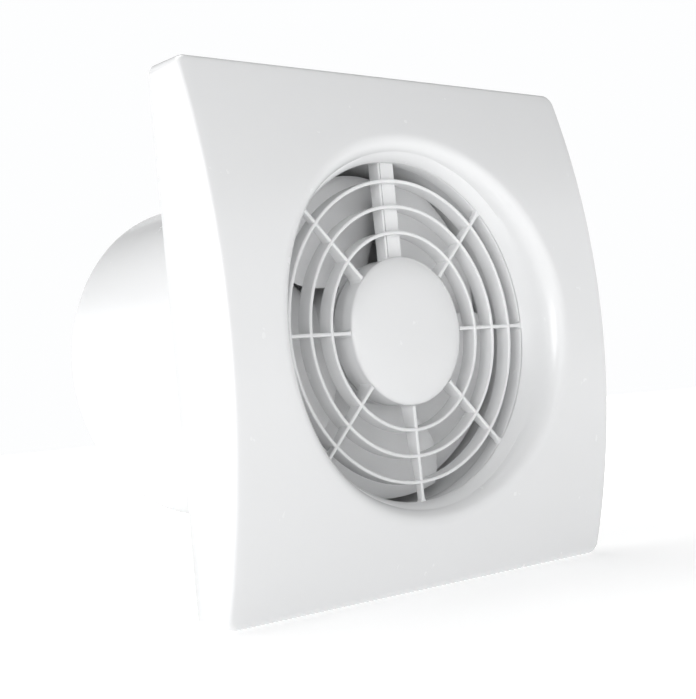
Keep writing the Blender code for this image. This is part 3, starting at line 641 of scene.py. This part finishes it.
def inlet_guard():
    cup_inside, floor_front = CUP_RADIUS - CUP_WALL, CUP_FLOOR - CUP_FLOOR_THICK
    cup = (
        (CUP_RADIUS, CUP_FRONT),
        (CUP_RADIUS, CUP_FLOOR),
        (CUP_BORE, CUP_FLOOR),
        (CUP_BORE, floor_front),
        (cup_inside, floor_front),
        (cup_inside, CUP_FRONT),
    )
    made = piece("inlet_guard", turned(rounded(cup, 0.5), 128))
    shapes = []
    half_wall = RING_WALL / 2.0
    for radius in RING_RADII:
        inner, outer = radius - half_wall, radius + half_wall
        rear = GUARD_FRONT + RING_DEPTH
        ring = ((outer, GUARD_FRONT), (outer, rear), (inner, rear), (inner, GUARD_FRONT))
        shapes.append(turned(rounded(ring, 0.55, 5)))
    outer = THROAT_RADIUS + THROAT_WALL
    front, rear = GUARD_FRONT + 0.6, GUARD_HIGH.y - 3.6
    throat = ((THROAT_RADIUS, front), (outer, front), (outer, rear), (THROAT_RADIUS, rear))
    shapes.append(turned(rounded(throat, 0.5)))
    shapes += [spun(fin(), 360.0 * k / SPOKES) for k in range(SPOKES) if k != TOP_SPOKE]
    wide = CHANNEL_WIDTH / 2.0
    section = ((wide, CHANNEL_FRONT), (wide, CHANNEL_REAR), (-wide, CHANNEL_REAR), (-wide, CHANNEL_FRONT))
    channel = rounded(section, 0.5, 4)
    ends = (CUP_RADIUS - 0.7, THROAT_RADIUS + 0.9)
    shapes.append(lofted([[(x, y, z) for x, y in channel] for z in ends], closed=False))
    near, far = THROAT_RADIUS + 2.0, LUG_RADIUS + LUG_HALF
    lug = ((near, -LUG_HALF), (far, -LUG_HALF), (far, LUG_HALF), (near, LUG_HALF))
    for k in range(4):
        shapes.append(spun(prism(rounded(lug, 2.0, 6), *LUG_Y), 45.0 + 90.0 * k))
    combine(made, "UNION", shapes)
    through = (CUP_FLOOR - 2.8, CUP_FLOOR + 1.2)
    holes = [rod(LUG_HOLE, LUG_Y[0] - 1.2, LUG_Y[1] + 1.9, SMALL, place) for place in lug_places()]
    holes += [rod(BUSH_HOLE, *through, SMALL, place) for place in motor_screw_places()]
    holes.append(rod(LEAD_RADIUS + 0.7, *through, SMALL, (0.0, LEAD_HOLE_AT)))
    inside = wide - CHANNEL_SIDE
    holes.append(box((-inside, CHANNEL_FRONT + CHANNEL_FACE, 21.0), (inside, CHANNEL_REAR + 0.7, 64.0)))
    left = GROOVE_FROM_EDGE - wide
    holes.append(box((left, CHANNEL_FRONT - GROOVE, CUP_RADIUS + 0.6),
                     (left + GROOVE, CHANNEL_FRONT + GROOVE, THROAT_RADIUS + 0.4)))
    return combine(made, "DIFFERENCE", holes)


def motor_dome_cap():
    """The cap's face is a shallow crown that rolls over at its edge."""
    collar = CUP_RADIUS - CUP_WALL - GAP
    bore = collar - 1.4
    rear = DOME_HIGH.y
    rise = DOME_EDGE - DOME_FRONT
    steps = 40
    outline = [(0.0, DOME_FRONT)]
    for k in range(1, steps + 1):
        share = math.sin(math.radians(90.0 * k / steps))
        height = math.sqrt(max(0.0, 1.0 - share**DOME_POWER))
        outline.append((DOME_RADIUS * share, DOME_EDGE - rise * height))
    inside = [(collar, DOME_EDGE), (collar, rear), (bore, rear), (bore, -14.5), (13.0, -15.4)]
    return piece("motor_dome_cap", turned(outline + rounded(inside, 0.3)[1:] + [(0.0, -15.9)]))


def wire_channel_cover():
    low, high = extent("wire_channel_cover")
    return softened(piece("wire_channel_cover", box(low, high)), 0.25)


# ---------------------------------------------------------------- fasteners


def screw(node, recess="cross"):
    """A pan-head screw with a driver's recess, in the place of its node."""
    low, high = extent(node)
    centre = ((low.x + high.x) / 2.0, (low.z + high.z) / 2.0)
    radius = (high.x - low.x) / 2.0
    shank = {"guard": 1.3, "motor": 1.35, "terminal": 1.3, "clamp": 0.95}[node.split("_")[0]]
    front, tip = low.y, high.y
    rear = front + (1.8 if radius < 2.5 else 1.9)
    outline = [(0.0, front), (0.62 * radius, front + 0.05), (0.9 * radius, front + 0.5)]
    outline += [(radius, front + 1.0), (radius, rear), (shank, rear)]
    pitch, thread = 0.55, 0.22
    turns = int((tip - 1.0 - rear) / pitch)
    for k in range(turns):
        y = rear + 0.15 + pitch * k
        root = shank - thread
        outline += [(root, y + 0.05), (shank, y + 0.5 * pitch), (root, y + pitch - 0.05)]
    outline += [(0.3 * shank, tip), (0.0, tip)]
    made = piece(node, turned(outline, SMALL, centre), sharp=50.0)
    arm, wide, deep = 0.58 * radius, 0.14 * radius, front + 1.1
    if recess == "cross":
        slots = [box((-arm, front - PAST, -wide), (arm, deep, wide))]
        slots.append(box((-wide, front - PAST, -arm), (wide, deep, arm)))
    else:
        slots = [box((-radius - PAST, front - PAST, -wide), (radius + PAST, front + 0.7, wide))]
    turn = 24.0 + 37.0 * int(node[-1])
    offset = (centre[0], 0.0, centre[1])
    return combine(made, "DIFFERENCE", [moved(spun(slot, turn), offset) for slot in slots])


def fasteners():
    for k in range(1, 5):
        screw(f"guard_screw_{k}")
    for k, place in enumerate(motor_screw_places()):
        screw(f"motor_screw_{k + 1}")
        bush = ((1.65, -7.2), (3.8, -7.2), (3.8, -5.7), (2.6, -5.7), (2.6, -3.7), (1.65, -3.7))
        piece(f"rubber_mount_{k + 1}", turned(rounded(bush, 0.4), SMALL, place))
    for k in range(1, 4):
        screw(f"terminal_screw_{k}", "slot")
    for k in (1, 2):
        screw(f"clamp_screw_{k}")


# ---------------------------------------------------------------- motor and rotor


def motor():
    bore = SHAFT_RADIUS + 0.8
    inside = MOTOR_RADIUS - SHIELD_WALL
    nose, seat = BEARING_RADIUS + 1.1, BEARING_RADIUS + 0.3
    front = (
        (bore, -8.4),
        (nose, -8.4),
        (nose, -3.4),
        (MOTOR_RADIUS, -3.4),
        (MOTOR_RADIUS, STACK[0] - GAP),
        (inside, STACK[0] - GAP),
        (inside, -1.9),
        (seat, -1.9),
        (seat, -7.6),
        (bore, -7.6),
    )
    shield = piece("motor_front_shield", turned(rounded(front, 0.9, 5), FINE))
    holes = [rod(1.7, -5.0, 0.0, SMALL, place) for place in motor_screw_places()]
    holes.append(rod(1.5, -5.0, 0.0, SMALL, (0.0, LEAD_HOLE_AT)))
    combine(shield, "DIFFERENCE", holes)
    rear = (
        (MOTOR_RADIUS, STACK[1] + GAP),
        (MOTOR_RADIUS, 20.5),
        (bore, 20.5),
        (bore, 19.7),
        (seat, 19.7),
        (seat, 16.0),
        (seat + 1.0, 16.0),
        (seat + 1.0, 19.0),
        (inside, 19.0),
        (inside, STACK[1] + GAP),
    )
    piece("motor_rear_shield", turned(rounded(rear, 0.9, 5), FINE))
    thick = (STACK[1] - STACK[0]) / STACK_SHEETS
    seam = MOTOR_RADIUS - 0.08
    edge = [(STACK_BORE, STACK[0])]
    for k in range(STACK_SHEETS):
        y = STACK[0] + thick * k
        edge += [(seam, y), (MOTOR_RADIUS, y + 0.3 * thick), (MOTOR_RADIUS, y + 0.7 * thick)]
    edge += [(seam, STACK[1]), (STACK_BORE, STACK[1])]
    stack = piece("stator_core", turned(edge, FINE))
    turns = [17.0 + 45.0 * k for k in range(8)]
    slot = ((11.0, STACK[0] - PAST, -1.6), (17.6, STACK[1] + PAST, 1.6))
    combine(stack, "DIFFERENCE", [spun(box(*slot), turn) for turn in turns])
    for name, low, high in (("front", -1.5, STACK[0] - GAP), ("rear", STACK[1] + GAP, 18.6)):
        inner, outer = COIL_RADII
        coil = rounded(((inner, low), (outer, low), (outer, high), (inner, high)), 1.6, 8)
        piece(f"winding_{name}", turned(wound(coil, COIL_WIRE), FINE))
    for name, low, high in (("front", -7.3, -4.1), ("rear", 16.2, 19.4)):
        inner, outer = SHAFT_RADIUS + RUN, BEARING_RADIUS
        bush = ((inner, low), (outer, low), (outer, high), (inner, high))
        piece(f"bearing_{name}", turned(rounded(bush, 0.35), SMALL))


def wound(outline, wire):
    """An outline whose edge is scalloped inwards, as the wires of a coil that lie side by side."""
    made = []
    for i, point in enumerate(outline):
        start, end = Vector(point), Vector(outline[(i + 1) % len(outline)])
        along = end - start
        inwards = Vector((-along.y, along.x)).normalized()
        wires = max(1, round(along.length / (2.0 * wire)))
        for k in range(wires):
            for share, dip in ((0.0, 0.5), (0.25, 0.12), (0.5, 0.0), (0.75, 0.12)):
                made.append(tuple(start + along * ((k + share) / wires) + inwards * dip * wire))
    return made


def blade():
    """One twisted paddle blade about +X, with its leading edge to the room and anticlockwise."""
    stations, chords = 30, 32
    root = HUB_RADIUS - 1.0
    loops = []
    for i in range(stations + 1):
        share = i / stations
        radius = root + (BLADE_TIP - root) * share
        lead = LEAD_ANGLES[0] + LEAD_ANGLES[1] * math.sin(0.78 * math.pi * share**0.75)
        trail = TRAIL_ANGLES[0] + TRAIL_ANGLES[1] * share
        flare = 1.0 + BLADE_FLARE[0] * math.exp(-max(0.0, radius - HUB_RADIUS) / BLADE_FLARE[1])
        near_tip = max(0.0, 1.0 - (BLADE_TIP - radius) / BLADE_TIP_ROUND)
        tip = math.sqrt(max(0.05, 1.0 - near_tip**2))
        front, rear = [], []
        for j in range(chords + 1):
            t = 0.5 - 0.5 * math.cos(math.pi * j / chords)
            x, z = polar(radius, lead - (lead + trail) * t)
            y = BLADE_FRONT + (BLADE_REAR - BLADE_FRONT) * (t + BLADE_DISH * t * (t - 1.0))
            half = 0.5 * BLADE_THICK * tip * flare * math.sqrt(max(0.0, 1.0 - abs(2.0 * t - 1.0) ** 7))
            front.append((x, y - half, z))
            rear.append((x, y + half, z))
        loops.append(front + rear[-2:0:-1])
    return lofted(loops, closed=False)


def rotor():
    bore, inside = SHAFT_RADIUS + RUN, HUB_RADIUS - HUB_WALL
    floor, boss_end = HUB_REAR - 1.8, HUB_REAR + 3.0
    hub = (
        (HUB_RADIUS, HUB_FRONT),
        (HUB_RADIUS, HUB_REAR),
        (HUB_BOSS, HUB_REAR),
        (HUB_BOSS, boss_end),
        (bore, boss_end),
        (bore, floor),
        (inside, floor),
        (inside, HUB_FRONT),
    )
    impeller = piece("impeller", turned(rounded(hub, 1.6, 6), 128))
    blades = [spun(blade(), BLADE_MIDDLE + 360.0 * k / BLADES) for k in range(BLADES)]
    rib = ((3.2, HUB_REAR - 0.4, -0.6), (21.5, HUB_REAR + 0.8, 0.6))
    ribs = [spun(box(*rib), 360.0 * k / HUB_RIBS) for k in range(HUB_RIBS)]
    combine(impeller, "UNION", blades + ribs)
    front, rear = SHAFT_Y
    shaft = ((0.0, front), (SHAFT_RADIUS, front), (SHAFT_RADIUS, rear), (0.0, rear))
    piece("motor_shaft", turned(rounded(shaft, 0.4), SMALL))
    front, rear = ROTOR_CORE_Y
    core = ((bore, front), (ROTOR_CORE_RADIUS, front), (ROTOR_CORE_RADIUS, rear), (bore, rear))
    piece("rotor_core", turned(rounded(core, 0.5), FINE))
    for name, low, high in (("front", -3.8, -3.0), ("rear", 15.0, 15.8)):
        washer = ((bore, low), (WASHER_RADIUS, low), (WASHER_RADIUS, high), (bore, high))
        piece(f"thrust_washer_{name}", turned(rounded(washer, 0.2), SMALL))
    hexagon = [polar(NUT_RADIUS, 60.0 * k) for k in range(6)]
    nut = piece("impeller_nut", prism(hexagon, boss_end + GAP, NUT_END))
    combine(nut, "DIFFERENCE", [rod(bore, boss_end - PAST, NUT_END + 2.0 * PAST)])
    softened(nut, 0.35, 3)


# ---------------------------------------------------------------- shutter


def shutter_flap(node, side, knuckles):
    """Half a disc beside the pin, on side -1 or +1."""
    front, rear = FLAP_Y
    steps = 48
    start = math.degrees(math.asin(FLAP_EDGE / FLAP_RADIUS))
    outline = []
    for k in range(steps + 1):
        x, z = polar(FLAP_RADIUS, -90.0 + start + (180.0 - 2.0 * start) * k / steps)
        outline.append((side * x, z))
    flap = piece(node, moved(prism(outline, front, rear), (0.0, PIN_Y, 0.0)))
    shapes = []
    for rib in FLAP_RIBS_Z:
        across = sorted(side * x for x in FLAP_RIB_X)
        shapes.append(box((across[0], rear - 0.5, rib), (across[1], FLAP_RIB_REAR, rib + 1.2)))
    bores = []
    for low, high in knuckles:
        shapes.append(upright(rod(KNUCKLE_RADIUS, low, high)))
        across = sorted((side * FLAP_EDGE, side * 6.0))
        shapes.append(box((across[0], front + 0.3, low + 0.2), (across[1], -0.6, high - 0.2)))
        bores.append(upright(rod(PIN_RADIUS + RUN, low - 2.0, high + 2.0)))
    combine(flap, "UNION", [moved(shape, (0.0, PIN_Y, 0.0)) for shape in shapes])
    combine(flap, "DIFFERENCE", [moved(bore, (0.0, PIN_Y, 0.0)) for bore in bores])
    return softened(flap, 0.2)


def wire(node, points, radius):
    """A round wire through these points, in the place of its node."""
    slot = SLOT_OF[node]
    curve = bpy.data.curves.new(f"{node}_fine", "CURVE")
    curve.dimensions = "3D"
    curve.bevel_depth = radius * MM
    curve.bevel_resolution = 4
    curve.use_fill_caps = True
    line = curve.splines.new("POLY")
    line.points.add(len(points) - 1)
    for spline_point, point in zip(line.points, points):
        spline_point.co = (*(Vector(point) * MM), 1.0)
    line.use_smooth = True
    curve.materials.append(FINISH[slot])
    obj = bpy.data.objects.new(curve.name, curve)
    bpy.context.scene.collection.objects.link(obj)
    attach(obj, BODY_OF[node])
    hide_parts(node)
    return obj


def shutter_spring(node, side, low):
    turns, per_turn, pitch, coil, leg = 3.5, 28, 1.0, 2.2, 14.0
    points = []
    steps = int(turns * per_turn)
    for k in range(steps + 1):
        x, y = polar(coil, 90.0 + side * 360.0 * k / per_turn)
        points.append((x, PIN_Y + y, low + pitch * k / per_turn))
    points.append((side * leg, PIN_Y - coil, low + pitch * steps / per_turn))
    return wire(node, points, SPRING_WIRE)


def shutter():
    front, seat, rear = PIN_Y - 6.6, PIN_Y - 4.6, PIN_Y + 3.0
    inner = FRAME_BORE - FRAME_SEAT
    outline = (
        (inner, front),
        (FRAME_RADIUS, front),
        (FRAME_RADIUS, rear),
        (FRAME_BORE, rear),
        (FRAME_BORE, seat),
        (inner, seat),
    )
    ring = piece("shutter_frame", turned(rounded(outline, 0.5)))
    combine(ring, "UNION", [box((-4.5, front + 0.1, -55.6), (4.5, seat - 0.1, 55.6))])
    hole = moved(upright(rod(PIN_RADIUS + RUN, -PIN_END - 3.0, PIN_END + 3.0)), (0.0, PIN_Y, 0.0))
    combine(ring, "DIFFERENCE", [hole])
    half = ((0.0, -PIN_END), (PIN_RADIUS, -PIN_END), (PIN_RADIUS, PIN_END), (0.0, PIN_END))
    pin = rounded(half, 0.3)
    piece("shutter_pin", moved(upright(turned(pin, SMALL)), (0.0, PIN_Y, 0.0)))
    shutter_flap("shutter_flap_left", -1.0, LEFT_KNUCKLES)
    shutter_flap("shutter_flap_right", 1.0, RIGHT_KNUCKLES)
    shutter_spring("shutter_spring_left", -1.0, LEFT_SPRING_Z)
    shutter_spring("shutter_spring_right", 1.0, RIGHT_SPRING_Z)


# ---------------------------------------------------------------- wiring


def wiring():
    block = piece("terminal_block", box(BLOCK_LOW, BLOCK_HIGH))
    poles = 3
    pitch = (BLOCK_HIGH.x - BLOCK_LOW.x) / poles
    middle = (BLOCK_LOW.z + BLOCK_HIGH.z) / 2.0
    front = BLOCK_LOW.y
    pockets = []
    for k in range(poles):
        x = BLOCK_LOW.x + pitch * (k + 0.5)
        pockets.append(rod(2.6, front - PAST, front + 6.0, SMALL, (x, middle)))
        entry = (x - 1.4, front + 6.6, BLOCK_LOW.z - PAST), (x + 1.4, front + 9.2, BLOCK_LOW.z + 4.0)
        pockets.append(box(*entry))
    for k in range(1, poles):
        x = BLOCK_LOW.x + pitch * k
        notch = (x - 0.5, front - PAST, BLOCK_LOW.z - PAST), (x + 0.5, front + 1.2, BLOCK_HIGH.z + PAST)
        pockets.append(box(*notch))
    combine(block, "DIFFERENCE", pockets)
    softened(block, 0.3, 3)
    grommet = (
        (4.0, -5.0),
        (7.2, -5.0),
        (8.2, -4.0),
        (8.2, -2.8),
        (6.2, -2.8),
        (6.2, -0.3),
        (4.0, -0.3),
    )
    piece("cable_grommet", turned(rounded(grommet, 0.5, 4), SMALL, GROMMET_AT))
    low, high = extent("cable_clamp")
    clamp = piece("cable_clamp", box(low, high))
    left, right = CLAMP_SCREWS_X[0] + 2.6, CLAMP_SCREWS_X[1] - 2.6
    pitch, deep, half = 1.6, 0.5, 0.35
    teeth = []
    for k in range(3):
        z = CLAMP_Z - pitch + pitch * k
        teeth.append(box((left, high.y - deep, z - half), (right, high.y + deep, z + half)))
    holes = [rod(1.3, -9.0, -5.0, SMALL, (x, CLAMP_Z)) for x in CLAMP_SCREWS_X]
    combine(clamp, "DIFFERENCE", holes + teeth)
    softened(clamp, 0.4, 3)


def smooth_path(points, steps=8):
    """A Catmull-Rom curve through the points."""
    points = [Vector(point) for point in points]
    padded = [2 * points[0] - points[1], *points, 2 * points[-1] - points[-2]]
    made = []
    for a, b, c, d in zip(padded, padded[1:], padded[2:], padded[3:]):
        for k in range(steps):
            t = k / steps
            made.append(0.5 * (2 * b + (c - a) * t + (2 * a - 5 * b + 4 * c - d) * t**2
                               + (3 * b - a - 3 * c + d) * t**3))
    return made + [points[-1]]


def motor_lead():
    route = (
        (0.0, -2.9, LEAD_HOLE_AT),
        (0.0, -5.6, LEAD_HOLE_AT),
        (0.0, -7.9, 19.6),
        (0.0, -8.7, 22.0),
        (0.0, -8.75, 40.0),
        (0.0, -8.75, 60.0),
        (0.6, -8.8, 64.0),
        (3.0, -8.6, 68.0),
        (8.0, -7.6, 71.2),
        (16.0, -6.8, 72.8),
        (28.0, -6.6, 73.0),
        (37.5, -6.6, 73.0),
    )
    return wire("motor_lead", smooth_path(route), LEAD_RADIUS)


# ---------------------------------------------------------------- stage, light and camera


def stage():
    bm = bmesh.new()
    bmesh.ops.create_grid(bm, x_segments=24, y_segments=24, size=FLOOR_HALF)
    bmesh.ops.translate(bm, vec=Vector((0.0, 0.0, (COVER_LOW.z - 0.2) * MM)), verts=bm.verts)
    mesh = bpy.data.meshes.new("floor")
    bm.to_mesh(mesh)
    bm.free()
    pale = surface("glowing_floor_with_painted_shade", (0.9, 0.9, 0.9), 0.6, tone=0.004, grain=300.0, relief=0.02)
    shader = pale.node_tree.nodes["Principled BSDF"]
    shader.inputs["Emission Color"].default_value = (1.0, 1.0, 1.0, 1.0)
    nodes, links = pale.node_tree.nodes, pale.node_tree.links
    where = nodes.new("ShaderNodeTexCoord")
    away = nodes.new("ShaderNodeVectorMath")
    away.operation = "LENGTH"
    links.new(where.outputs["Object"], away.inputs[0])
    # The floor glows like a light table and lights the fan from below. Its glow is weaker near the fan, as
    # painted shade round its foot, and even far out.
    glow = nodes.new("ShaderNodeMapRange")
    glow.interpolation_type = "SMOOTHSTEP"
    glow.inputs["From Min"].default_value = GLOW_REACH[0]
    glow.inputs["From Max"].default_value = GLOW_REACH[1]
    glow.inputs["To Min"].default_value = FLOOR_GLOW[0]
    glow.inputs["To Max"].default_value = FLOOR_GLOW[1]
    links.new(away.outputs["Value"], glow.inputs["Value"])
    links.new(glow.outputs["Result"], shader.inputs["Emission Strength"])
    mesh.materials.append(pale)
    floor = bpy.data.objects.new("floor", mesh)
    bpy.context.scene.collection.objects.link(floor)


def area_light(name, place, aim, size, watts):
    light = bpy.data.lights.new(name, "AREA")
    light.shape = "DISK"
    light.size = size
    light.energy = watts
    obj = bpy.data.objects.new(name, light)
    obj.location = Vector(place)
    obj.rotation_euler = (Vector(aim) - Vector(place)).to_track_quat("-Z", "Y").to_euler()
    bpy.context.scene.collection.objects.link(obj)


def studio_world():
    """White round the horizon, so that the backdrop meets the floor's far edge unseen, and dimmer above."""
    world = bpy.data.worlds.new("studio")
    world.use_nodes = True
    nodes, links = world.node_tree.nodes, world.node_tree.links
    where = nodes.new("ShaderNodeTexCoord")
    parts = nodes.new("ShaderNodeSeparateXYZ")
    links.new(where.outputs["Generated"], parts.inputs["Vector"])
    fade = nodes.new("ShaderNodeMapRange")
    fade.interpolation_type = "SMOOTHSTEP"
    fade.inputs["From Min"].default_value = HORIZON_BAND[0]
    fade.inputs["From Max"].default_value = HORIZON_BAND[1]
    fade.inputs["To Min"].default_value = 1.0
    fade.inputs["To Max"].default_value = SKY_STRENGTH
    links.new(parts.outputs["Z"], fade.inputs["Value"])
    background = nodes["Background"]
    background.inputs["Color"].default_value = (0.985, 0.99, 0.995, 1.0)
    links.new(fade.outputs["Result"], background.inputs["Strength"])
    bpy.context.scene.world = world


def lighting():
    """Soft boxes to the fan's front left, over a floor that glows like a light table."""
    bpy.context.scene.view_settings.view_transform = "Standard"
    studio_world()
    for name, turn, height, size, watts in SOFT_BOXES:
        turn, height = math.radians(turn), math.radians(height)
        flat = LIGHT_DISTANCE * math.cos(height)
        place = (flat * math.sin(turn), -flat * math.cos(turn), LIGHT_DISTANCE * math.sin(height))
        area_light(name, place, (0.0, 0.0, 0.0), size, watts)
    area_light("overhead_behind", *OVERHEAD)


def camera():
    """Level with the fan's middle, to its front left, with a slight roll."""
    lens = bpy.data.cameras.new("camera")
    lens.sensor_fit = "HORIZONTAL"
    lens.sensor_width = SENSOR_WIDTH
    lens.lens = FOCAL_LENGTH
    lens.clip_start = 0.01
    obj = bpy.data.objects.new("camera", lens)
    turn = (Matrix.Rotation(math.radians(CAMERA_YAW), 4, "Z")
            @ Matrix.Rotation(math.radians(90.0 + CAMERA_TILT), 4, "X")
            @ Matrix.Rotation(math.radians(CAMERA_ROLL), 4, "Z"))
    obj.matrix_world = Matrix.Translation(Vector(CAMERA_PLACE) * MM) @ turn
    bpy.context.scene.collection.objects.link(obj)
    bpy.context.scene.camera = obj


camera()
front_cover()
fan_body()
inlet_guard()
motor_dome_cap()
wire_channel_cover()
fasteners()
motor()
rotor()
shutter()
wiring()
motor_lead()
stage()
lighting()
